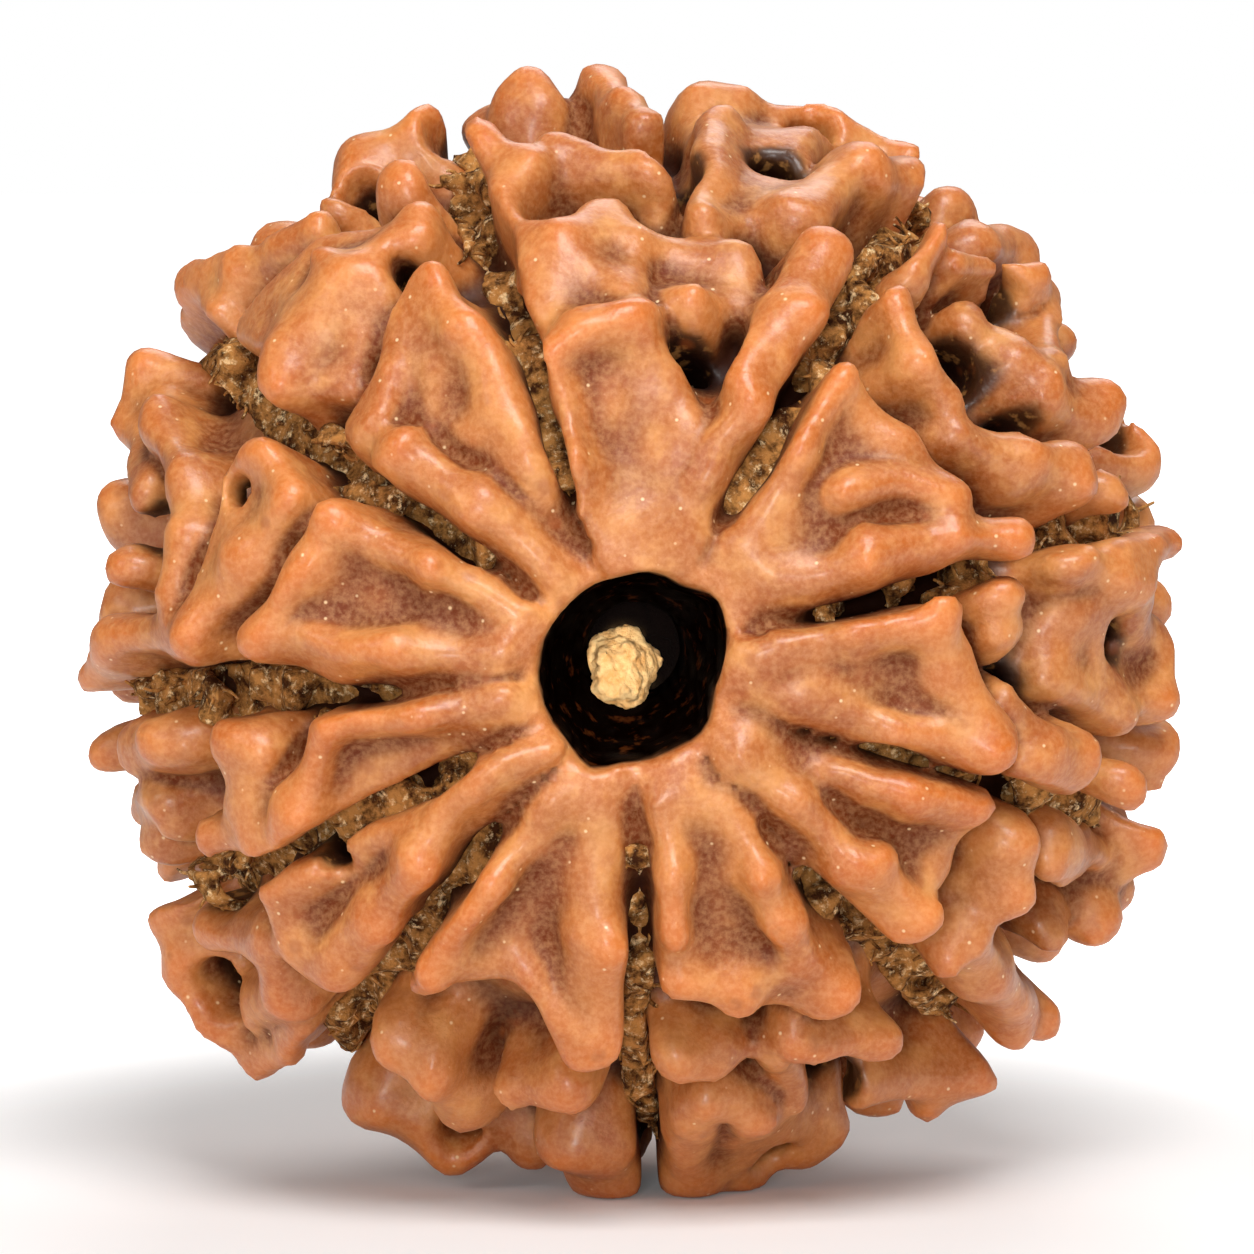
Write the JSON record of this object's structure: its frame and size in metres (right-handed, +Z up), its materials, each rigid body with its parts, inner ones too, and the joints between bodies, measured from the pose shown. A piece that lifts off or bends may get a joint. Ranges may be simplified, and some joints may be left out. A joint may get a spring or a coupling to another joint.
{
  "type": "rudraksha seed",
  "caption": "Knobbly, grooved round seed stone lying on its side, with a string hole through it, pith in the hole and dried pulp in the grooves",
  "frame": {"origin": "the middle of the seed's footprint, on the floor it lies on", "axes": "Y runs along the string hole, with the wide mouth at -Y; Z is up; X is to the right as seen from the wide mouth"},
  "size_m": [0.0274, 0.022, 0.0278],
  "materials": {
    "waxed_stone": "woody stone, polished with oil to a soft waxy sheen",
    "dry_pith": "dry, crumbly, pale straw",
    "dried_pulp": "dry, fibrous and crumbly, tan to brown"
  },
  "bodies": {
    "root": {"stone": "waxed_stone", "pith": "dry_pith", "pulp_01": "dried_pulp", "pulp_02": "dried_pulp", "pulp_03": "dried_pulp", "pulp_04": "dried_pulp", "pulp_05": "dried_pulp", "pulp_06": "dried_pulp", "pulp_07": "dried_pulp", "pulp_08": "dried_pulp", "pulp_09": "dried_pulp", "pulp_10": "dried_pulp"}
  },
  "joints": []
}
